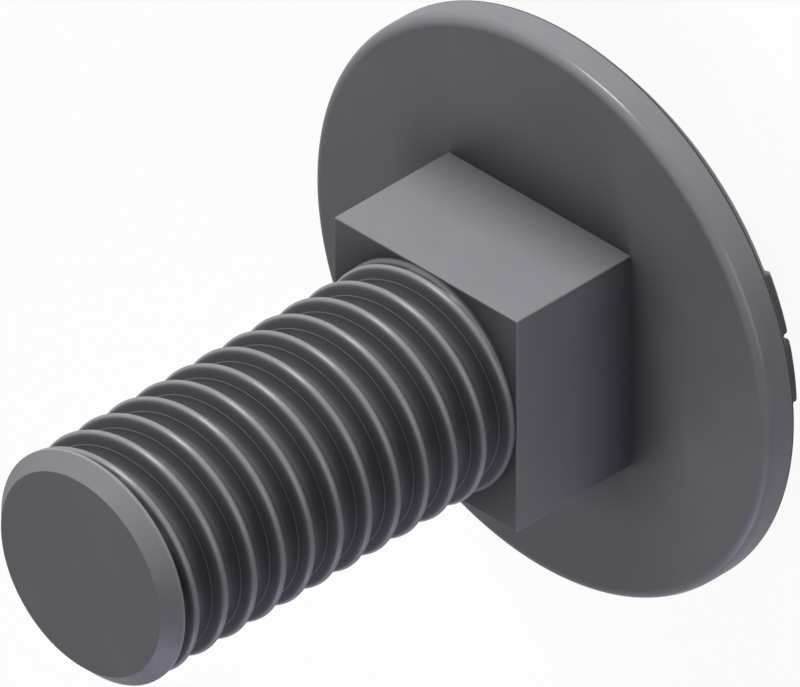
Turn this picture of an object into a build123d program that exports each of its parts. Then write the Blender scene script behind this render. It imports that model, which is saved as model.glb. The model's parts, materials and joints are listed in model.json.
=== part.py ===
from build123d import *
from math import ceil, hypot, radians, sqrt, tan
import os

# A mushroom-head square-neck bolt, M8 x 20: one cold-forged piece of steel with a rolled
# thread. Sizes are in millimetres. The bolt stands on the top of its domed head: Z = 0 is the
# top of the dome, +Z runs along the shank to the tip, and the flats of the neck face X and Y.

# Head. The top of the dome has a small flat, where the steel doesn't fill the forging punch
head_diameter = 20.0
head_height = 4.88
rim_height = 1.12
dome_flat_diameter = 4.0
seat_edge_radius = 0.4

# Square neck, which bites into the hole and keeps the bolt from turning
neck_width = 8.0
neck_length = 5.0

# Right-hand metric thread, from the neck to the chamfered tip
thread_diameter = 8.0
thread_pitch = 1.25
thread_length = 15.0
thread_allowance = 0.03
flank_angle = 30.0
first_crest = 0.37
tip_chamfer = 0.5

# The grooves fade out into a narrow plain land at each end of the thread. The crests stay a
# hair below the lands, and the fades start a little inside the thread's core.
neck_land = 0.1
neck_fade = 0.5
tip_land = 0.1
tip_fade = 0.6
crest_step = 0.01
fade_overlap = 0.1

# Plain raised bars near the edge of the dome
bar_width = 0.5
bar_length = 1.95
bar_height = 0.15
bar_edge_gap = 0.4
bar_count = 2
first_bar_angle = -81.0
bar_pitch_angle = 14.3

# Heights above the top of the dome
dome_height = head_height - rim_height
seat_z = head_height
neck_end_z = seat_z + neck_length
neck_fade_z = neck_end_z + neck_land
tip_z = neck_end_z + thread_length
chamfer_z = tip_z - tip_chamfer
tip_fade_z = chamfer_z - tip_land

# Radii. The dome is part of a ball that runs from the rim to the edge of the flat
head_radius = head_diameter / 2
flat_radius = dome_flat_diameter / 2
dome_centre_z = (head_radius**2 - flat_radius**2 + dome_height**2) / (2 * dome_height)
dome_radius = hypot(flat_radius, dome_centre_z)
land_radius = (thread_diameter - thread_allowance) / 2
crest_radius = land_radius - crest_step
sharp_height = sqrt(3) / 2 * thread_pitch
root_radius = thread_diameter / 2 - 17 / 24 * sharp_height
ridge_foot_radius = root_radius - fade_overlap / 2
fade_foot_radius = root_radius - fade_overlap

# The helix is swept this many turns past each end of the thread, and cut back in the lands
spare_turns = 2
helix_start_z = neck_end_z + first_crest - spare_turns * thread_pitch
helix_turns = ceil(thread_length / thread_pitch) + 2 * spare_turns
thread_start_z = neck_end_z + neck_land / 2
thread_end_z = chamfer_z - tip_land / 2

# A ball lies with its poles on the X axis, so that neither a pole nor its seam is on the dome,
# and the dome is one smooth face
ball_on_its_side = (0, -90, 0)


def ridge_half_width(radius):
    """Half the width of the thread's ridge along the axis, at this radius: the ISO profile."""
    return thread_pitch / 16 + (thread_diameter / 2 - radius) * tan(radians(flank_angle))


# Thread: a trapezoid ridge swept turn by turn along the helix, joined to the core under it
with BuildPart() as thread:
    with BuildLine() as helix:
        for turn in range(helix_turns):
            turn_z = helix_start_z + turn * thread_pitch
            Helix(thread_pitch, thread_pitch, crest_radius, center=(0, 0, turn_z))
    with BuildSketch(Plane((0, 0, helix_start_z), x_dir=(1, 0, 0), z_dir=(0, -1, 0))):
        with BuildLine():
            crest_half = ridge_half_width(crest_radius)
            foot_half = ridge_half_width(ridge_foot_radius)
            Polyline(
                (crest_radius, -crest_half),
                (crest_radius, crest_half),
                (ridge_foot_radius, foot_half),
                (ridge_foot_radius, -foot_half),
                close=True,
            )
        make_face()
    sweep(path=helix.line, is_frenet=True)
    with BuildSketch(Plane.XY.offset(helix_start_z)):
        Circle(root_radius)
    extrude(amount=helix_turns * thread_pitch)
    with BuildSketch(Plane.XY.offset(thread_start_z)):
        Circle(thread_diameter)
    extrude(amount=thread_end_z - thread_start_z, mode=Mode.INTERSECT)

# Raised bars: blocks in the edge of the head, with outer faces that follow the dome
with BuildPart() as bars:
    with BuildSketch():
        bar_radius = head_radius - bar_edge_gap - bar_width / 2
        with PolarLocations(bar_radius, bar_count, first_bar_angle, bar_count * bar_pitch_angle):
            Rectangle(bar_width, bar_length)
    extrude(amount=dome_height)
    with Locations((0, 0, dome_centre_z)):
        Sphere(dome_radius + bar_height, rotation=ball_on_its_side, mode=Mode.INTERSECT)

with BuildPart() as bolt:
    # Head: a disc whose lower side is rounded to part of a large ball
    with BuildSketch():
        Circle(head_radius)
    extrude(amount=head_height)
    with Locations((0, 0, dome_centre_z)):
        Sphere(dome_radius, rotation=ball_on_its_side, mode=Mode.INTERSECT)
    fillet(bolt.faces().sort_by(Axis.Z)[-1].edges(), seat_edge_radius)
    add(bars.part)

    # Square neck
    with BuildSketch(Plane.XY.offset(seat_z)):
        Rectangle(neck_width, neck_width)
    extrude(amount=neck_length)

    # Foot of the shank: a plain land that narrows to the thread's core
    with BuildSketch(Plane.XZ):
        with BuildLine():
            Polyline(
                (0, neck_end_z),
                (land_radius, neck_end_z),
                (land_radius, neck_fade_z),
                (fade_foot_radius, neck_fade_z + neck_fade),
                (0, neck_fade_z + neck_fade),
                close=True,
            )
        make_face()
    revolve(axis=Axis.Z)

    # Tip: the core widens to a plain land, a chamfer and a flat end
    with BuildSketch(Plane.XZ):
        with BuildLine():
            Polyline(
                (0, tip_fade_z - tip_fade),
                (fade_foot_radius, tip_fade_z - tip_fade),
                (land_radius, tip_fade_z),
                (land_radius, chamfer_z),
                (land_radius - tip_chamfer, tip_z),
                (0, tip_z),
                close=True,
            )
        make_face()
    revolve(axis=Axis.Z)
    add(thread.part)
bolt.part.label = "bolt"

os.makedirs("parts", exist_ok=True)
export_step(bolt.part, "parts/bolt.step")
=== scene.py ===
"""A mushroom-head square-neck bolt, M8 x 20: cold-forged steel with a rolled thread.

The bolt stands on the top of its domed head, with its axis on Z. Everything is in metres, in
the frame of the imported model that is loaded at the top.
"""

import json
from math import asin, atan, ceil, cos, hypot, pi, radians, sin, sqrt, tan
from typing import NamedTuple

import bmesh
import bpy
from bpy.props import FloatProperty, IntProperty, PointerProperty, StringProperty
from mathutils import Matrix, Vector


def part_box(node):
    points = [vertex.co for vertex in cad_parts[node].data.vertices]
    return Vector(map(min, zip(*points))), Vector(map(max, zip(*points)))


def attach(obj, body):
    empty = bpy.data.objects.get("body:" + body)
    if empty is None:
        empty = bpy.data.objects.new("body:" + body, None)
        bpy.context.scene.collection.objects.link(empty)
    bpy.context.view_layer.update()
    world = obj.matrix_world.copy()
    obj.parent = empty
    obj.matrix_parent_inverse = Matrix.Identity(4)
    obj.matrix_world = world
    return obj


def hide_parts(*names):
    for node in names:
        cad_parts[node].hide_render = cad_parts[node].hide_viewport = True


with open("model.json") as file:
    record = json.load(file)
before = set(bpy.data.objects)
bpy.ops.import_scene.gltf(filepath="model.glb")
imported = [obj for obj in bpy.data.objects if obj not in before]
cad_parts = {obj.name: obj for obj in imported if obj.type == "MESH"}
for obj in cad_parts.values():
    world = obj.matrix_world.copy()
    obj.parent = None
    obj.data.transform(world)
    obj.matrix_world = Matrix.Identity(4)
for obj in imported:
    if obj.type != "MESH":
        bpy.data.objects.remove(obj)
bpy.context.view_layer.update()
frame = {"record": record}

bl_info = {
    "name": "Square-neck bolt",
    "version": (1, 0, 0),
    "blender": (4, 5, 0),
    "location": "3D View > Sidebar > Bolt",
    "description": "Builds a mushroom-head square-neck bolt with a rolled thread",
    "category": "Add Mesh",
}

MM = 0.001
LOWEST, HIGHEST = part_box("bolt")
MOUNTS = {mount["name"]: mount for mount in frame["record"]["mounts"]}

# Vertices nearer to each other than this are one vertex
WELD = 0.002 * MM

HEAD_AND_NECK = "head_and_neck"
THREADED_SHANK = "threaded_shank"
CHAMFERED_POINT = "chamfered_point"
FINISHED_BOLT = "bolt_steel"


# Sizes and colours


class BoltSizes(bpy.types.PropertyGroup):
    """The bolt's driving sizes, in metres."""

    length: FloatProperty(
        name="Length", description="From the top of the dome to the tip",
        default=HIGHEST.z, unit="LENGTH")
    head_diameter: FloatProperty(
        name="Head diameter", description="Across the rim of the head",
        default=HIGHEST.x - LOWEST.x, unit="LENGTH")
    head_height: FloatProperty(
        name="Head height", description="From the top of the dome to the underside",
        default=MOUNTS["head_seat"]["pos_m"][2], unit="LENGTH")
    rim_height: FloatProperty(
        name="Rim height", description="Straight rim, with the rounded edge under the head",
        default=1.12 * MM, unit="LENGTH")
    dome_flat_diameter: FloatProperty(
        name="Flat on the dome", description="Where the steel doesn't fill the punch",
        default=4.0 * MM, unit="LENGTH")
    under_edge_radius: FloatProperty(
        name="Underside edge", description="Rounding of the edge under the rim",
        default=0.4 * MM, unit="LENGTH")
    neck_width: FloatProperty(
        name="Neck width", description="Across two flats of the square neck",
        default=2 * MOUNTS["neck_flat_x_plus"]["pos_m"][0], unit="LENGTH")
    neck_length: FloatProperty(
        name="Neck length", description="From the underside of the head to the thread",
        default=5.0 * MM, unit="LENGTH")
    thread_radius: FloatProperty(
        name="Thread radius", description="Outside of the thread and of its two lands",
        default=MOUNTS["thread"]["dims"]["r_mm"] * MM, unit="LENGTH")
    tip_chamfer: FloatProperty(
        name="Tip chamfer", description="Width and height of the chamfer at the tip",
        default=0.5 * MM, unit="LENGTH")
    land: FloatProperty(
        name="Land", description="Plain ring at each end of the thread",
        default=0.1 * MM, unit="LENGTH")


class ThreadSizes(bpy.types.PropertyGroup):
    """The rolled thread: its pitch, its profile and how its groove ends."""

    nominal_radius: FloatProperty(
        name="Nominal radius", description="Half of the thread's nominal diameter",
        default=4.0 * MM, unit="LENGTH")
    pitch: FloatProperty(
        name="Pitch", description="From one crest to the next",
        default=1.25 * MM, unit="LENGTH")
    first_crest: FloatProperty(
        name="First crest", description="Height of a crest above the neck, on the X axis",
        default=0.37 * MM, unit="LENGTH")
    crest_step: FloatProperty(
        name="Crest step", description="How far the crests stay below the lands",
        default=0.01 * MM, unit="LENGTH")
    root_radius: FloatProperty(
        name="Root radius", description="From the axis to the bottom of the groove",
        default=3.233 * MM, unit="LENGTH")
    crest_rounding: FloatProperty(
        name="Crest rounding", description="How softly a flank turns into a crest",
        default=0.4 * MM, unit="LENGTH")
    root_rounding: FloatProperty(
        name="Root rounding", description="How softly a flank turns into a root",
        default=0.34 * MM, unit="LENGTH")
    neck_fade: FloatProperty(
        name="Fade at the neck", description="Length in which the groove ends at the neck",
        default=0.5 * MM, unit="LENGTH")
    tip_fade: FloatProperty(
        name="Fade at the tip", description="Length in which the groove ends at the chamfer",
        default=0.6 * MM, unit="LENGTH")
    fade_rounding: FloatProperty(
        name="Fade rounding", description="How softly the groove turns into its end",
        default=0.06 * MM, unit="LENGTH")
    columns: IntProperty(
        name="Columns", description="Steps around the shank, a multiple of 8", default=192)
    rows: IntProperty(name="Rows", description="Steps along one pitch", default=24)


class BarSizes(bpy.types.PropertyGroup):
    """The plain raised bars on the dome, near its edge."""

    width: FloatProperty(
        name="Bar width", description="Along the dome's radius",
        default=0.5 * MM, unit="LENGTH")
    length: FloatProperty(
        name="Bar length", description="Around the dome", default=1.95 * MM, unit="LENGTH")
    height: FloatProperty(
        name="Bar height", description="Above the dome", default=0.15 * MM, unit="LENGTH")
    edge_distance: FloatProperty(
        name="Edge distance", description="From the rim to the bars",
        default=0.4 * MM, unit="LENGTH")
    count: IntProperty(name="Bars", description="Number of bars", default=2)
    first_angle: FloatProperty(
        name="First bar", description="Angle of the first bar from the X axis",
        default=radians(-81.0), subtype="ANGLE")
    step_angle: FloatProperty(
        name="Bar step", description="Angle from one bar to the next",
        default=radians(14.3), subtype="ANGLE")


class SteelFinish(bpy.types.PropertyGroup):
    """Colours of the steel, some painting shade and highlight, and of the light around it, as
    sRGB hex values.
    """

    body: StringProperty(
        name="Body", description="Blackened steel, satin", default="#5a595d")
    body_pale: StringProperty(
        name="Body, paler", description="Where the dark film is thinner", default="#616064")
    # Partly painted highlight: rubbed crests, lighter to stand in for their highlights
    rubbed_and_highlight: StringProperty(
        name="Rubbed crests", description="Tops of the crests, rubbed bright",
        default="#67666a")
    # Painted shade: the inner corners are darkened towards this colour
    corner: StringProperty(
        name="Inner corners", description="Where oil and dark film gather", default="#222124")
    # Dark film, and the colour of painted shade in the grooves, on the land at the neck and
    # under the rim
    dark_film_and_shade: StringProperty(
        name="Thread flanks", description="Dark film left on the flanks", default="#303033")
    gloss: StringProperty(
        name="Gloss", description="Tint of its reflections, dulled by the dark film",
        default="#8c8c8c")
    floor: StringProperty(name="Floor", description="Pale matt floor", default="#f4f4f4")
    key_light: StringProperty(
        name="Key light", description="Neutral softbox", default="#ffffff")
    fill_light: StringProperty(
        name="Fill light", description="Cool strip light", default="#d6d7f6")


# Helpers


def linear(hex_colour):
    """An sRGB hex value as the linear RGBA that Blender's nodes take."""
    parts = [int(hex_colour[place:place + 2], 16) / 255 for place in (1, 3, 5)]
    parts = [p / 12.92 if p <= 0.04045 else ((p + 0.055) / 1.055) ** 2.4 for p in parts]
    return (*parts, 1.0)


def new_tree(owner):
    """The empty node tree of a material or a world."""
    owner.use_nodes = True
    owner.node_tree.nodes.clear()
    return owner.node_tree


def add_node(tree, kind, inputs=None, **settings):
    """Add one node with its settings; each input takes a value or another node's output."""
    node = tree.nodes.new(kind)
    for name, value in settings.items():
        setattr(node, name, value)
    for key, value in (inputs or {}).items():
        if isinstance(value, bpy.types.NodeSocket):
            tree.links.new(value, node.inputs[key])
        else:
            node.inputs[key].default_value = value
    return node


def add_sums(tree, known, sums):
    """Add formulas as Math nodes; an operand is a number or the name of an earlier result."""
    for name, operation, *operands in sums:
        inputs = {place: known.get(operand, operand) for place, operand in enumerate(operands)}
        known[name] = add_node(tree, "ShaderNodeMath", inputs, operation=operation).outputs[0]
    return known


def even_angles(count):
    return [2 * pi * step / count for step in range(count)]


def circle(radius, height):
    """A ring's place at each angle, for a round section."""
    return lambda angle: (radius * cos(angle), radius * sin(angle), height)


def add_ring(bm, angles, place):
    return [bm.verts.new(place(angle)) for angle in angles]


def skin(bm, lower, upper):
    """Faces between two rings of the same count, facing outwards where upper is further on."""
    for here in range(len(lower)):
        after = (here + 1) % len(lower)
        bm.faces.new((lower[here], lower[after], upper[after], upper[here]))


def close_pole(bm, ring, height, facing_up):
    """A fan of faces from the ring to a vertex on the axis."""
    pole = bm.verts.new((0, 0, height))
    for here in range(len(ring)):
        after = (here + 1) % len(ring)
        face = (ring[here], ring[after], pole) if facing_up else (pole, ring[after], ring[here])
        bm.faces.new(face)


def rounded_profile(corners, hold=0.05 * MM):
    """Points along a profile of (radius, height, rounding, steps) corners.

    A rounded corner becomes an arc, with a point held just outside each of its ends so that
    the faces beside it shade flat.
    """
    points = []
    for index, (radius, height, rounding, steps) in enumerate(corners):
        here = Vector((radius, height))
        if not rounding:
            points.append(here)
            continue
        back = (Vector(corners[index - 1][:2]) - here).normalized()
        on = (Vector(corners[index + 1][:2]) - here).normalized()
        half = back.angle(on) / 2
        reach = rounding / tan(half)
        middle = here + (back + on).normalized() * (rounding / sin(half))
        start, end = here + back * reach - middle, here + on * reach - middle
        points.append(here + back * (reach + hold))
        points += [middle + start.lerp(end, step / steps).normalized() * rounding
                   for step in range(steps + 1)]
        points.append(here + on * (reach + hold))
    return points


def keep_object(name, bm):
    """Turn a bmesh into an object at the origin."""
    mesh = bpy.data.meshes.new(name)
    bm.to_mesh(mesh)
    bm.free()
    thing = bpy.data.objects.new(name, mesh)
    bpy.context.scene.collection.objects.link(thing)
    return thing


# Head and neck


# A raised bar's edge: distance inside its outline, and the share of its height there
BAR_EDGE = (
    (-0.10 * MM, 0.0),
    (-0.05 * MM, 0.04),
    (-0.015 * MM, 0.2),
    (0.03 * MM, 0.8),
    (0.065 * MM, 0.96),
    (0.115 * MM, 1.0),
)


def edge_share(inside):
    """Share of a bar's height at this distance inside its outline."""
    if inside <= BAR_EDGE[0][0]:
        return 0.0
    for (near, low), (far, high) in zip(BAR_EDGE, BAR_EDGE[1:]):
        if inside <= far:
            return low + (high - low) * (inside - near) / (far - near)
    return 1.0


# Rings this near to the edge of the flat on the dome keep the faces on both sides evenly shaded
FLAT_HOLD = 0.08 * MM


class Dome:
    """The dome: part of a large ball, with the plain bars raised on it."""

    def __init__(self, sizes, bars):
        self.bars = bars
        self.rim = sizes.head_diameter / 2
        self.flat = sizes.dome_flat_diameter / 2
        self.height = sizes.head_height - sizes.rim_height
        self.centre = (self.rim**2 - self.flat**2 + self.height**2) / (2 * self.height)
        self.ball = hypot(self.flat, self.centre)
        self.bar_radius = self.rim - bars.edge_distance - bars.width / 2
        self.bar_angles = [bars.first_angle + bar * bars.step_angle for bar in range(bars.count)]
        self.half_turn = bars.length / 2 / self.bar_radius

    def raised(self, radius, angle):
        """Share of the bars' height at this place on the dome."""
        across = self.bars.width / 2 - abs(radius - self.bar_radius)
        share = 0.0
        for middle in self.bar_angles:
            apart = abs((angle - middle + pi) % (2 * pi) - pi)
            along = (self.half_turn - apart) * self.bar_radius
            share = max(share, min(edge_share(across), edge_share(along)))
        return share

    def ring(self, radius):
        """The dome's ring at this radius, lifted where the bars are."""
        tilt = asin(radius / self.ball)

        def place(angle):
            out = self.ball + self.bars.height * self.raised(radius, angle)
            return (out * sin(tilt) * cos(angle), out * sin(tilt) * sin(angle),
                    self.centre - out * cos(tilt))
        return place

    def ring_radii(self):
        """Radii of the dome's rings, closer together at the bars' edges."""
        plain, near_bar, near_rim = 0.55 * MM, 0.2 * MM, 0.12 * MM
        inner = self.bar_radius - self.bars.width / 2
        outer = self.bar_radius + self.bars.width / 2
        first = self.flat + FLAT_HOLD
        last = inner - near_bar
        count = ceil((last - first) / plain)
        radii = [first + (last - first) * step / count for step in range(count + 1)]
        radii += [inner + inside for inside, _ in BAR_EDGE]
        radii += [inner + self.bars.width * part for part in (0.35, 0.5, 0.65)]
        radii += [outer - inside for inside, _ in BAR_EDGE]
        return sorted(radii) + [self.rim - near_rim]

    def column_angles(self):
        """Extra columns where the bars begin and end."""
        angles = []
        for middle in self.bar_angles:
            for inside, _ in BAR_EDGE:
                apart = self.half_turn - inside / self.bar_radius
                angles += [middle - apart, middle + apart]
        return angles


# The neck's four long edges and the edges of its end are a hair round, as forging leaves them
NECK_ROUND = 0.06 * MM


def neck_reach(angle, half_width):
    """From the axis to the side of the neck, a square with slightly rounded corners."""
    turn = abs((angle + pi / 4) % (pi / 2) - pi / 4)
    middle = half_width - NECK_ROUND
    if tan(turn) <= middle / half_width:
        return half_width / cos(turn)
    along = middle * (cos(turn) + sin(turn))
    return along + sqrt(along**2 - 2 * middle**2 + NECK_ROUND**2)


def neck_corner_angles(half_width):
    """Extra columns that round and hold the neck's four corners."""
    arc = pi / 4 - atan((half_width - NECK_ROUND) / half_width)
    offsets = (arc * 0.5, arc, arc * 1.6)
    return [corner * pi / 2 + pi / 4 + sign * offset
            for corner in range(4) for sign in (-1, 1) for offset in offsets]


def head_rings(bm, angles, dome, sizes):
    """From the flat on the dome, over the bars and round the rim, to the flat underside."""
    rings = [add_ring(bm, angles, circle(radius, 0))
             for radius in (dome.flat / 2, dome.flat - FLAT_HOLD)]
    radii = dome.ring_radii()
    rings += [add_ring(bm, angles, dome.ring(radius)) for radius in radii]

    # The profile starts at the dome's last ring, which is there already
    seat_z, dome_edge_round = sizes.head_height, 0.04 * MM
    corners = [
        (radii[-1], dome.ring(radii[-1])(0)[2], 0, 0),
        (dome.rim, dome.height, dome_edge_round, 4),
        (dome.rim, seat_z, sizes.under_edge_radius, 12),
        *((dome.rim * share, seat_z, 0, 0) for share in (0.82, 0.7)),
    ]
    return rings + [add_ring(bm, angles, circle(*point))
                    for point in rounded_profile(corners)[1:]]


def neck_rings(bm, angles, sizes):
    """The square neck, with a fine bevel at its end that narrows where the land is near."""
    seat_z = sizes.head_height
    neck_end_z = seat_z + sizes.neck_length
    near_seat, near_end = 0.1 * MM, 0.16 * MM

    # Each ring lies so many bevels inwards, at a height, and so many bevels below it
    profile = [(0, seat_z + rise, 0)
               for rise in (0, near_seat, sizes.neck_length / 2, sizes.neck_length - near_end)]
    profile += [(1 - cos(radians(turn)), neck_end_z, 1 - sin(radians(turn)))
                for turn in (0, 22.5, 45, 67.5, 90)]
    profile.append((1.5, neck_end_z, 0))

    def ring(inwards, height, below):
        def place(angle):
            side = neck_reach(angle, sizes.neck_width / 2)
            bevel = min(NECK_ROUND, (side - sizes.thread_radius) / 2)
            reach = side - bevel * inwards
            return (reach * cos(angle), reach * sin(angle), height - bevel * below)
        return place
    return [add_ring(bm, angles, ring(*row)) for row in profile]


def join_to_land(bm, angles, edge, land):
    """The end face of the neck, from its edge in to the land, which has fewer columns."""
    nearest = [round(angle / (2 * pi) * len(land)) % len(land) for angle in angles]
    for here in range(len(edge)):
        after = (here + 1) % len(edge)
        corners = [edge[here], edge[after], land[nearest[after]]]
        if nearest[here] != nearest[after]:
            corners.append(land[nearest[here]])
        bm.faces.new(corners)


class MESH_OT_forge_head_and_neck(bpy.types.Operator):
    """Make the domed head with its bars and the square neck, up to the foot of the thread"""

    bl_idname = "mesh.forge_head_and_neck"
    bl_label = "Forge head and neck"

    def execute(self, context):
        sizes = context.scene.bolt_sizes
        dome = Dome(sizes, context.scene.bolt_bars)
        even = even_angles(context.scene.bolt_thread.columns)
        extra = dome.column_angles() + neck_corner_angles(sizes.neck_width / 2)
        angles = sorted(even + [angle % (2 * pi) for angle in extra])

        bm = bmesh.new()
        rings = head_rings(bm, angles, dome, sizes) + neck_rings(bm, angles, sizes)
        for lower, upper in zip(rings, rings[1:]):
            skin(bm, lower, upper)
        close_pole(bm, rings[0], 0, facing_up=False)

        # The land at the foot of the thread has only the thread's own columns
        neck_end_z = sizes.head_height + sizes.neck_length
        land = add_ring(bm, even, circle(sizes.thread_radius, neck_end_z))
        join_to_land(bm, angles, rings[-1], land)
        top = add_ring(bm, even, circle(sizes.thread_radius, neck_end_z + sizes.land))
        skin(bm, land, top)
        keep_object(HEAD_AND_NECK, bm)
        return {"FINISHED"}


# Thread


# The ISO profile: half the angle between two flanks, and half a crest's width as a share of
# the pitch
FLANK_ANGLE = radians(30)
CREST_HALF_WIDTH = 1 / 16

# The rows start this many turns below the first crest, and are cut off level at the land
SPARE_TURNS = 2


def thread_tree():
    """Geometry Nodes that roll a right-hand thread between two plain lands.

    A grid is wound round the axis and sheared along the helix, so that its rows follow the
    crests. Each row's distance from the nearest crest gives the ISO profile.
    """
    tree = bpy.data.node_groups.new("rolled_thread", "GeometryNodeTree")
    lengths = ("Pitch", "Start", "End", "Crest height", "Nominal radius", "Land radius",
               "Crest radius", "Root radius", "Crest rounding", "Root rounding",
               "Neck fade", "Tip fade", "Fade rounding")
    for name in lengths:
        socket = tree.interface.new_socket(name=name, in_out="INPUT",
                                           socket_type="NodeSocketFloat")
        socket.subtype = "DISTANCE"
    for name in ("Columns", "Rows per pitch", "Turns"):
        tree.interface.new_socket(name=name, in_out="INPUT", socket_type="NodeSocketInt")
    tree.interface.new_socket(name="Material", in_out="INPUT",
                              socket_type="NodeSocketMaterial")
    tree.interface.new_socket(name="Geometry", in_out="OUTPUT",
                              socket_type="NodeSocketGeometry")

    known = dict(add_node(tree, "NodeGroupInput").outputs.items())
    add_sums(tree, known, (
        ("column vertices", "ADD", "Columns", 1),
        ("row vertices", "MULTIPLY_ADD", "Rows per pitch", "Turns", 1),
    ))
    grid = add_node(tree, "GeometryNodeMeshGrid", {
        "Size X": 1.0, "Size Y": 1.0,
        "Vertices X": known["column vertices"], "Vertices Y": known["row vertices"]})
    position = add_node(tree, "GeometryNodeInputPosition")
    place = add_node(tree, "ShaderNodeSeparateXYZ", {"Vector": position.outputs["Position"]})
    known["x"], known["y"] = place.outputs["X"], place.outputs["Y"]
    add_sums(tree, known, (
        # How far round, and how many turns along the thread
        ("round", "ADD", "x", 0.5),
        ("angle", "MULTIPLY", "round", 2 * pi),
        ("along", "ADD", "y", 0.5),
        ("turn", "MULTIPLY", "along", "Turns"),
        # Height: the rows climb one pitch in a turn, and are cut off level at both lands
        ("climb", "ADD", "turn", "round"),
        ("base", "MULTIPLY_ADD", "Pitch", -SPARE_TURNS, "Crest height"),
        ("free height", "MULTIPLY_ADD", "climb", "Pitch", "base"),
        ("above start", "MAXIMUM", "free height", "Start"),
        ("height", "MINIMUM", "above start", "End"),
        # Profile: a V that reaches the nominal radius at the edges of its crest
        ("from crest", "PINGPONG", "turn", 0.5),
        ("off crest", "SUBTRACT", CREST_HALF_WIDTH, "from crest"),
        ("off crest length", "MULTIPLY", "off crest", "Pitch"),
        ("sharp", "MULTIPLY_ADD", "off crest length", 1 / tan(FLANK_ANGLE), "Nominal radius"),
        ("crested", "SMOOTH_MIN", "sharp", "Crest radius", "Crest rounding"),
        ("groove", "SMOOTH_MAX", "crested", "Root radius", "Root rounding"),
        # The groove ends in a cone at the neck and at the tip
        ("depth", "SUBTRACT", "Land radius", "Root radius"),
        ("from start", "SUBTRACT", "height", "Start"),
        ("neck slope", "DIVIDE", "depth", "Neck fade"),
        ("neck drop", "MULTIPLY", "from start", "neck slope"),
        ("neck cone", "SUBTRACT", "Land radius", "neck drop"),
        ("to end", "SUBTRACT", "End", "height"),
        ("tip slope", "DIVIDE", "depth", "Tip fade"),
        ("tip drop", "MULTIPLY", "to end", "tip slope"),
        ("tip cone", "SUBTRACT", "Land radius", "tip drop"),
        ("with neck", "SMOOTH_MAX", "groove", "neck cone", "Fade rounding"),
        ("with tip", "SMOOTH_MAX", "with neck", "tip cone", "Fade rounding"),
        ("radius", "MINIMUM", "with tip", "Land radius"),
        ("cosine", "COSINE", "angle"),
        ("sine", "SINE", "angle"),
        ("wound x", "MULTIPLY", "radius", "cosine"),
        ("wound y", "MULTIPLY", "radius", "sine"),
    ))
    wound = add_node(tree, "ShaderNodeCombineXYZ", {
        "X": known["wound x"], "Y": known["wound y"], "Z": known["height"]})
    moved = add_node(tree, "GeometryNodeSetPosition", {
        "Geometry": grid.outputs["Mesh"], "Position": wound.outputs["Vector"]})
    welded = add_node(tree, "GeometryNodeMergeByDistance", {
        "Geometry": moved.outputs["Geometry"], "Distance": WELD})
    real = add_node(tree, "GeometryNodeRealizeInstances", {
        "Geometry": welded.outputs["Geometry"]})
    dressed = add_node(tree, "GeometryNodeSetMaterial", {
        "Geometry": real.outputs["Geometry"], "Material": known["Material"]})
    add_node(tree, "NodeGroupOutput", {"Geometry": dressed.outputs["Geometry"]})
    return tree


class MESH_OT_roll_thread(bpy.types.Operator):
    """Make the threaded shank between the neck and the chamfer"""

    bl_idname = "mesh.roll_bolt_thread"
    bl_label = "Roll thread"

    def execute(self, context):
        sizes, thread = context.scene.bolt_sizes, context.scene.bolt_thread
        neck_end_z = sizes.head_height + sizes.neck_length
        start = neck_end_z + sizes.land
        end = sizes.length - sizes.tip_chamfer - sizes.land
        crest_z = neck_end_z + thread.first_crest
        values = {
            "Pitch": thread.pitch,
            "Start": start,
            "End": end,
            "Crest height": crest_z,
            "Nominal radius": thread.nominal_radius,
            "Land radius": sizes.thread_radius,
            "Crest radius": sizes.thread_radius - thread.crest_step,
            "Root radius": thread.root_radius,
            "Crest rounding": thread.crest_rounding,
            "Root rounding": thread.root_rounding,
            "Neck fade": thread.neck_fade,
            "Tip fade": thread.tip_fade,
            "Fade rounding": thread.fade_rounding,
            "Columns": thread.columns,
            "Rows per pitch": thread.rows,
            "Turns": ceil((end - crest_z) / thread.pitch) + SPARE_TURNS,
            "Material": steel_material(context.scene),
        }
        shank = keep_object(THREADED_SHANK, bmesh.new())
        modifier = shank.modifiers.new("rolled_thread", "NODES")
        modifier.node_group = thread_tree()
        for socket in modifier.node_group.interface.items_tree:
            if socket.in_out == "INPUT":
                modifier[socket.identifier] = values[socket.name]
        evaluated = shank.evaluated_get(context.evaluated_depsgraph_get())
        mesh = bpy.data.meshes.new_from_object(evaluated)
        shank.modifiers.clear()
        shank.data = mesh
        return {"FINISHED"}


class MESH_OT_point_bolt_tip(bpy.types.Operator):
    """Make the land, the chamfer and the flat end of the tip"""

    bl_idname = "mesh.point_bolt_tip"
    bl_label = "Point tip"

    def execute(self, context):
        sizes = context.scene.bolt_sizes
        angles = even_angles(context.scene.bolt_thread.columns)
        radius, tip_z = sizes.thread_radius, sizes.length
        chamfer_z = tip_z - sizes.tip_chamfer
        edge_round, edge_steps = 0.03 * MM, 3
        corners = [
            (radius, chamfer_z - sizes.land, 0, 0),
            (radius, chamfer_z, edge_round, edge_steps),
            (radius - sizes.tip_chamfer, tip_z, edge_round, edge_steps),
            (radius / 2, tip_z, 0, 0),
        ]
        bm = bmesh.new()
        rings = [add_ring(bm, angles, circle(*point)) for point in rounded_profile(corners)]
        for lower, upper in zip(rings, rings[1:]):
            skin(bm, lower, upper)
        close_pole(bm, rings[-1], tip_z, facing_up=True)
        keep_object(CHAMFERED_POINT, bm)
        return {"FINISHED"}


# Steel


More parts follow.
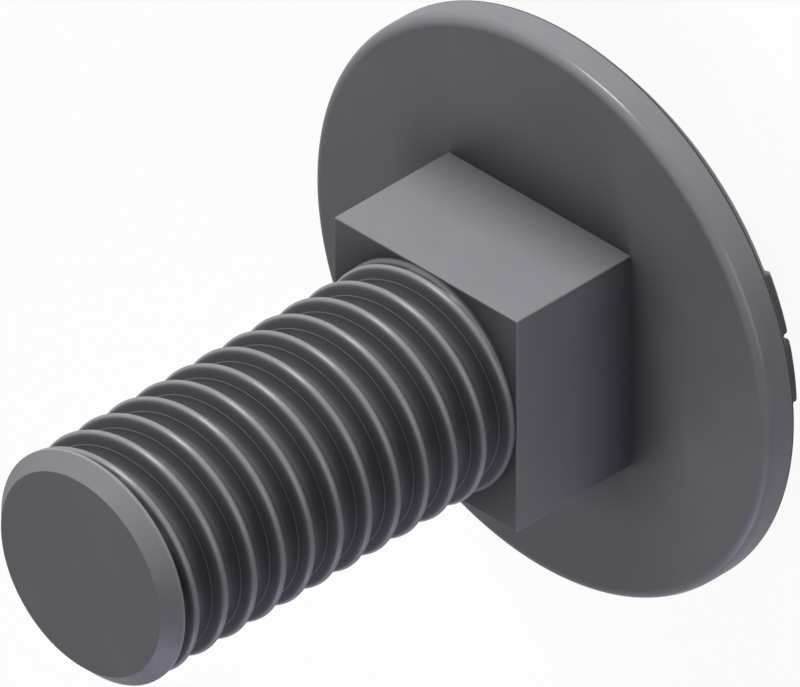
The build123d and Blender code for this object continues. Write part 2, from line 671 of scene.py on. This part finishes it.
# Share of dark film on the flanks, which also paints the shade of the grooves, from the thread's
# root (0) to its outside (1): none on the crests, full a little below them, and less again in
# the roots
FLANK_FILM_AND_SHADE = ((0.0, 0.0), (0.15, 0.05), (0.32, 0.6), (0.44, 1.0), (0.7, 1.0), (0.93, 0.1),
              (1.0, 0.0))

# A painted highlight line on each flank: its middle and half its width on the same scale, and
# how much of a crest's brightness it has
HIGHLIGHT_LINE_MIDDLE, HIGHLIGHT_LINE_HALF_WIDTH, HIGHLIGHT_LINE_SHARE = 0.485, 0.014, 0.6

# Depths below the outside of the thread where its rubbed, highlight-painted crests end, and
# where they are whole
CREST_END, CREST_WHOLE = 0.13 * MM, 0.04 * MM

# Heights above the neck where rubbing starts and where it is whole. The plain land there lies
# deep in the corner, so it gets painted shade instead of rubbing.
NECK_CLEAR_START, NECK_CLEAR_WHOLE = 0.06 * MM, 0.2 * MM

# The smooth band on the rim's rounded edge: how far its middle lies below the underside, the
# distances from there where it ends and where it is whole, and how far in from the rim it goes
BAND_DROP, BAND_END, BAND_WHOLE, BAND_DEPTH = 0.21 * MM, 0.13 * MM, 0.02 * MM, 0.3 * MM

# Painted shade where the dome meets the rim: how far up the rim and how far down the dome it
# goes
RIM_SHADE_UP, RIM_SHADE_DOWN = 0.05 * MM, 1.2 * MM

# The thread's film, rubbing and painted light start this far above the end face of the neck
THREAD_START = 0.005 * MM


def wear_and_painted_light_masks(tree, place, sizes, thread):
    """Per place on the bolt: shares of film and painted shade, of rubbed crests with painted
    highlight, and of smooth edge.
    """
    axes = add_node(tree, "ShaderNodeSeparateXYZ", {"Vector": place})
    known = {"x": axes.outputs["X"], "y": axes.outputs["Y"], "z": axes.outputs["Z"]}
    neck_end_z = sizes.head_height + sizes.neck_length
    add_sums(tree, known, (
        ("xx", "MULTIPLY", "x", "x"),
        ("rr", "MULTIPLY_ADD", "y", "y", "xx"),
        ("radius", "SQRT", "rr"),
        ("over band", "SUBTRACT", "z", sizes.head_height - BAND_DROP),
        ("off band", "ABSOLUTE", "over band"),
    ))

    # Each share runs from 0 to 1 between two distances
    shares = (
        ("depth share", "radius", thread.root_radius, sizes.thread_radius, "LINEAR"),
        ("clear of neck", "z", neck_end_z + NECK_CLEAR_START, neck_end_z + NECK_CLEAR_WHOLE,
         "LINEAR"),
        ("crest", "radius", sizes.thread_radius - CREST_END, sizes.thread_radius - CREST_WHOLE,
         "SMOOTHSTEP"),
        ("band", "off band", BAND_END, BAND_WHOLE, "SMOOTHSTEP"),
    )
    for name, distance, start, end, kind in shares:
        known[name] = add_node(tree, "ShaderNodeMapRange", {
            "Value": known[distance], "From Min": start, "From Max": end},
            interpolation_type=kind).outputs["Result"]

    film = add_node(tree, "ShaderNodeFloatCurve", {"Value": known["depth share"]})
    points = film.mapping.curves[0].points
    points[0].location, points[1].location = FLANK_FILM_AND_SHADE[0], FLANK_FILM_AND_SHADE[-1]
    for point in FLANK_FILM_AND_SHADE[1:-1]:
        points.new(*point)
    film.mapping.update()
    known["film"] = film.outputs["Value"]

    return add_sums(tree, known, (
        ("past neck", "GREATER_THAN", "z", neck_end_z + THREAD_START),
        ("before tip", "LESS_THAN", "z", sizes.length - sizes.tip_chamfer),
        ("threaded", "MULTIPLY", "past neck", "before tip"),
        # Handling has rubbed the tops of the crests bright, and they carry painted highlight; a
        # fine painted highlight line runs along the middle of each flank
        ("line", "COMPARE", "depth share", HIGHLIGHT_LINE_MIDDLE, HIGHLIGHT_LINE_HALF_WIDTH),
        ("faint line", "MULTIPLY", "line", HIGHLIGHT_LINE_SHARE),
        ("crest or line", "MAXIMUM", "crest", "faint line"),
        ("clear crest", "MULTIPLY", "crest or line", "clear of neck"),
        ("rubbed thread", "MULTIPLY", "clear crest", "threaded"),
        # It has also worn the rim's rounded edge smooth
        ("at rim", "GREATER_THAN", "radius", sizes.head_diameter / 2 - BAND_DEPTH),
        ("smooth edge", "MULTIPLY", "band", "at rim"),
        # Dark film on the flanks, partly painted shade, and painted shade on the land at the
        # neck
        ("by neck", "SUBTRACT", 1.0, "clear of neck"),
        ("dark", "MAXIMUM", "film", "by neck"),
        ("on flanks", "MULTIPLY", "dark", "threaded"),
        # Painted shade where the dome meets the rim, fading out down the dome
        ("over dome", "SUBTRACT", "z", sizes.head_height - sizes.rim_height),
        ("up dome", "MULTIPLY_ADD", "over dome", 1 / RIM_SHADE_DOWN, 1.0),
        ("on dome", "MAXIMUM", "up dome", 0.0),
        ("under rim", "LESS_THAN", "over dome", RIM_SHADE_UP),
        ("dome edge", "MULTIPLY", "on dome", "under rim"),
        ("dark film", "MAXIMUM", "on flanks", "dome edge"),
    ))


def steel_material(scene):
    """Carbon steel, cold forged and rolled, blackened and lightly oiled.

    The eye sees a dark satin grey, a little mottled, with soft lights on every rounded edge. The
    colour holds painted shade in the inner corners, on the land at the neck and under the rim,
    dark film that partly paints the shade of the grooves, and rubbed crests with painted
    highlight.
    """
    name = "blackened_forged_steel"
    if name in bpy.data.materials:
        return bpy.data.materials[name]
    finish = scene.bolt_finish
    material = bpy.data.materials.new(name)
    tree = new_tree(material)
    place = add_node(tree, "ShaderNodeTexCoord").outputs["Object"]
    wear_and_painted_light = wear_and_painted_light_masks(tree, place, scene.bolt_sizes, scene.bolt_thread)

    # The dark film is mottled, about 1.5 mm across. The grain of the forged skin is about
    # 0.1 mm on the real bolt, drawn at 0.25 mm so that it shows.
    mottle_width, grain_width = 1.5 * MM, 0.25 * MM
    mottle = add_node(tree, "ShaderNodeTexNoise", {
        "Vector": place, "Scale": 1 / mottle_width, "Detail": 3.0, "Roughness": 0.55})
    grain = add_node(tree, "ShaderNodeTexNoise", {
        "Vector": place, "Scale": 1 / grain_width, "Detail": 2.0, "Roughness": 0.6})

    # Painted shade darkens the inner corners, from this far out
    corner_shade_reach = 2.6 * MM
    corners = add_node(tree, "ShaderNodeAmbientOcclusion", {"Distance": corner_shade_reach},
                       samples=4, only_local=True)
    clear_of_corner_shade = add_node(tree, "ShaderNodeMapRange", {
        "Value": corners.outputs["AO"], "From Min": 0.38, "From Max": 1.0})

    # Colour: the skin, with painted shade in the corners, film and painted shade on the flanks,
    # and painted highlight on the rubbed crests
    skin_colour = add_node(tree, "ShaderNodeMix", {
        "Factor": mottle.outputs["Fac"], "A": linear(finish.body),
        "B": linear(finish.body_pale)}, data_type="RGBA")
    corner_shaded = add_node(tree, "ShaderNodeMix", {
        "Factor": clear_of_corner_shade.outputs["Result"], "A": linear(finish.corner),
        "B": skin_colour.outputs["Result"]}, data_type="RGBA")
    filmed_and_shaded = add_node(tree, "ShaderNodeMix", {
        "Factor": wear_and_painted_light["dark film"], "A": corner_shaded.outputs["Result"],
        "B": linear(finish.dark_film_and_shade)}, data_type="RGBA")
    rubbed_and_highlight = add_node(tree, "ShaderNodeMix", {
        "Factor": wear_and_painted_light["rubbed thread"], "A": filmed_and_shaded.outputs["Result"],
        "B": linear(finish.rubbed_and_highlight)}, data_type="RGBA")

    # Roughness: the grain of the skin, smoother where it is rubbed, most of all at the edge
    smoothest_skin, roughest_skin, rubbed_crest, worn_edge = 0.46, 0.52, 0.27, 0.2
    grainy = add_node(tree, "ShaderNodeMapRange", {
        "Value": grain.outputs["Fac"], "From Min": 0.3, "From Max": 0.7,
        "To Min": smoothest_skin, "To Max": roughest_skin})
    on_thread = add_node(tree, "ShaderNodeMix", {
        "Factor": wear_and_painted_light["rubbed thread"], "A": grainy.outputs["Result"], "B": rubbed_crest})
    rough = add_node(tree, "ShaderNodeMix", {
        "Factor": wear_and_painted_light["smooth edge"], "A": on_thread.outputs["Result"], "B": worn_edge})

    bump = add_node(tree, "ShaderNodeBump", {
        "Height": grain.outputs["Fac"], "Strength": 0.12, "Distance": 0.01 * MM})
    # The film is an oxide, only partly metallic, and it dulls the reflections
    surface = add_node(tree, "ShaderNodeBsdfPrincipled", {
        "Base Color": rubbed_and_highlight.outputs["Result"], "Metallic": 0.25, "Specular IOR Level": 0.2,
        "Specular Tint": linear(finish.gloss),
        "Roughness": rough.outputs["Result"], "Normal": bump.outputs["Normal"]})
    add_node(tree, "ShaderNodeOutputMaterial", {"Surface": surface.outputs["BSDF"]})
    return material


class MESH_OT_finish_bolt(bpy.types.Operator):
    """Weld head, shank and tip into one closed piece of steel and give it its finish"""

    bl_idname = "mesh.finish_bolt"
    bl_label = "Weld and finish"

    def execute(self, context):
        bm = bmesh.new()
        for name in (HEAD_AND_NECK, THREADED_SHANK, CHAMFERED_POINT):
            part = bpy.data.objects[name]
            bm.from_mesh(part.data)
            bpy.data.objects.remove(part)
        bmesh.ops.remove_doubles(bm, verts=bm.verts, dist=WELD)
        if not all(edge.is_manifold for edge in bm.edges):
            raise RuntimeError("the bolt's mesh isn't closed")
        if bm.calc_volume(signed=True) <= 0:
            raise RuntimeError("the bolt's mesh is inside out")
        # Edges that turn by more than this are shaded as edges
        crease = radians(42)
        for face in bm.faces:
            face.smooth = True
            face.material_index = 0
        for edge in bm.edges:
            edge.smooth = edge.calc_face_angle() < crease
        bolt = keep_object(FINISHED_BOLT, bm)
        bolt.data.materials.append(steel_material(context.scene))
        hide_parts("bolt")
        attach(bolt, "root")
        return {"FINISHED"}


# Stage


class Softbox(NamedTuple):
    """A rectangular lamp that faces the middle of the bolt.

    Radiance is how bright its face looks, where 1 is white, so its power follows from its
    area. A lamp that isn't mirrored lights the steel, but doesn't show in its gloss.
    """

    name: str
    direction: tuple
    distance: float
    size: tuple
    radiance: float
    colour: str
    mirrored: bool = True


LAMPS = (
    # The key light and the cool strip are low and strong. Mirrored, they would burn out the
    # flat faces seen from the far side.
    Softbox("key_softbox", (0.95, 0.26, 0.02), 0.6, (0.3, 0.05), 197.0, "key_light", False),
    Softbox("cool_strip", (-0.92, -0.38, 0.03), 0.2, (0.06, 0.03), 56.0, "fill_light", False),
    # Two slim lamps give the lights on the rounded edges and on the crests
    Softbox("key_spark", (0.88, 0.16, 0.445), 0.24, (0.08, 0.012), 80.0, "key_light"),
    Softbox("cool_spark", (-0.913, -0.252, 0.318), 0.24, (0.05, 0.012), 80.0, "fill_light"),
    Softbox("top_softbox", (0.05, -0.05, 1.0), 0.4, (0.2, 0.2), 3.1, "key_light"),
    Softbox("front_softbox", (0.15, -0.8, 0.55), 0.5, (0.3, 0.2), 2.5, "key_light"),
)

# The floor lies a hair lower than the flat that the bolt stands on, so that the two aren't in
# one plane. Most of it is white to the eye, so that only a soft shadow is left.
FLOOR_DROP = 0.02 * MM
FLOOR_GLOW = 0.92

# Strength of the world: on the bolt, and where the world is seen
WORLD_LIGHT, WORLD_WHITE = 0.15, 1.0

# The camera stands on the tip's side, at equal angles to the three axes, with +X upwards. Its
# lens is very long, so that the view is almost parallel.
CAMERA_RIGHT, CAMERA_BACK = Vector((0, -1, -1)), Vector((1, -1, 1))
CAMERA_TARGET = Vector((-0.865, 2.611, 8.378)) * MM
VIEW_WIDTH = 24.874 * MM
SENSOR_MM, LENS_MM = 36.0, 1400.0


def seen_directly(tree):
    """1 for rays that reach the eye straight, in a reflection or through glass, otherwise 0."""
    rays = add_node(tree, "ShaderNodeLightPath").outputs
    known = {"camera": rays["Is Camera Ray"], "glossy": rays["Is Glossy Ray"],
             "transmission": rays["Is Transmission Ray"]}
    return add_sums(tree, known, (
        ("either", "MAXIMUM", "camera", "glossy"),
        ("seen", "MAXIMUM", "either", "transmission"),
    ))


def lay_floor(finish):
    """A matt pale floor that keeps a soft shadow."""
    bm = bmesh.new()
    bmesh.ops.create_grid(bm, x_segments=8, y_segments=8, size=1.0,
                          matrix=Matrix.Translation((0, 0, -FLOOR_DROP)))
    floor = keep_object("floor", bm)
    matt = bpy.data.materials.new("pale_matt_floor")
    tree = new_tree(matt)
    known = add_sums(tree, seen_directly(tree), (("share", "MULTIPLY", "seen", FLOOR_GLOW),))
    paint = add_node(tree, "ShaderNodeBsdfDiffuse", {"Color": linear(finish.floor)})
    glow = add_node(tree, "ShaderNodeEmission", {"Color": (1, 1, 1, 1), "Strength": 1.0})
    mixed = add_node(tree, "ShaderNodeMixShader", {
        0: known["share"], 1: paint.outputs["BSDF"], 2: glow.outputs["Emission"]})
    add_node(tree, "ShaderNodeOutputMaterial", {"Surface": mixed.outputs["Shader"]})
    floor.data.materials.append(matt)


def light_world(scene):
    """White where it is seen, and a plain grey light on the rest."""
    scene.world = bpy.data.worlds.new("studio")
    tree = new_tree(scene.world)
    strength = add_node(tree, "ShaderNodeMapRange", {
        "Value": seen_directly(tree)["seen"], "To Min": WORLD_LIGHT, "To Max": WORLD_WHITE})
    sky = add_node(tree, "ShaderNodeBackground", {
        "Color": (1, 1, 1, 1), "Strength": strength.outputs["Result"]})
    add_node(tree, "ShaderNodeOutputWorld", {"Surface": sky.outputs["Background"]})


def hang_softbox(scene, softbox):
    lamp = bpy.data.lights.new(softbox.name, "AREA")
    lamp.shape = "RECTANGLE"
    width, height = softbox.size
    lamp.size, lamp.size_y = width, height
    lamp.energy = softbox.radiance * pi * width * height
    lamp.color = linear(getattr(scene.bolt_finish, softbox.colour))[:3]
    thing = bpy.data.objects.new(softbox.name, lamp)
    away = Vector(softbox.direction).normalized()
    thing.location = Vector((0, 0, HIGHEST.z / 2)) + away * softbox.distance
    thing.rotation_euler = away.to_track_quat("Z", "Y").to_euler()
    thing.visible_glossy = softbox.mirrored
    scene.collection.objects.link(thing)


def place_camera(scene):
    right, back = CAMERA_RIGHT.normalized(), CAMERA_BACK.normalized()
    lens = bpy.data.cameras.new("camera")
    lens.sensor_fit = "HORIZONTAL"
    lens.sensor_width, lens.lens = SENSOR_MM, LENS_MM
    lens.clip_start, lens.clip_end = 0.01, 20.0
    camera = bpy.data.objects.new("camera", lens)
    pose = Matrix((right, back.cross(right), back)).transposed().to_4x4()
    pose.translation = CAMERA_TARGET + back * (LENS_MM * VIEW_WIDTH / SENSOR_MM)
    camera.matrix_world = pose
    scene.collection.objects.link(camera)
    scene.camera = camera


class SCENE_OT_set_bolt_stage(bpy.types.Operator):
    """Set up the pale floor, the studio light and the camera"""

    bl_idname = "scene.set_bolt_stage"
    bl_label = "Set stage"

    def execute(self, context):
        scene = context.scene
        scene.view_settings.view_transform = "Standard"
        lay_floor(scene.bolt_finish)
        light_world(scene)
        for softbox in LAMPS:
            hang_softbox(scene, softbox)
        place_camera(scene)
        return {"FINISHED"}


# Panel and registration


OPERATORS = (
    MESH_OT_forge_head_and_neck,
    MESH_OT_roll_thread,
    MESH_OT_point_bolt_tip,
    MESH_OT_finish_bolt,
    SCENE_OT_set_bolt_stage,
)
SETTINGS = {
    "bolt_sizes": BoltSizes,
    "bolt_thread": ThreadSizes,
    "bolt_bars": BarSizes,
    "bolt_finish": SteelFinish,
}


class VIEW3D_PT_square_neck_bolt(bpy.types.Panel):
    """Sizes, colours and steps of the bolt"""

    bl_label = "Square-neck bolt"
    bl_space_type = "VIEW_3D"
    bl_region_type = "UI"
    bl_category = "Bolt"

    def draw(self, context):
        layout = self.layout
        for name, group in SETTINGS.items():
            box = layout.box()
            settings = getattr(context.scene, name)
            for size in group.__annotations__:
                box.prop(settings, size)
        for operator in OPERATORS:
            layout.operator(operator.bl_idname)


CLASSES = (*SETTINGS.values(), *OPERATORS, VIEW3D_PT_square_neck_bolt)


def register():
    for kind in CLASSES:
        bpy.utils.register_class(kind)
    for name, group in SETTINGS.items():
        setattr(bpy.types.Scene, name, PointerProperty(type=group))


def unregister():
    for name in SETTINGS:
        delattr(bpy.types.Scene, name)
    for kind in reversed(CLASSES):
        bpy.utils.unregister_class(kind)


def main():
    register()
    bpy.ops.mesh.forge_head_and_neck()
    bpy.ops.mesh.roll_bolt_thread()
    bpy.ops.mesh.point_bolt_tip()
    bpy.ops.mesh.finish_bolt()
    bpy.ops.scene.set_bolt_stage()


if __name__ == "__main__":
    main()
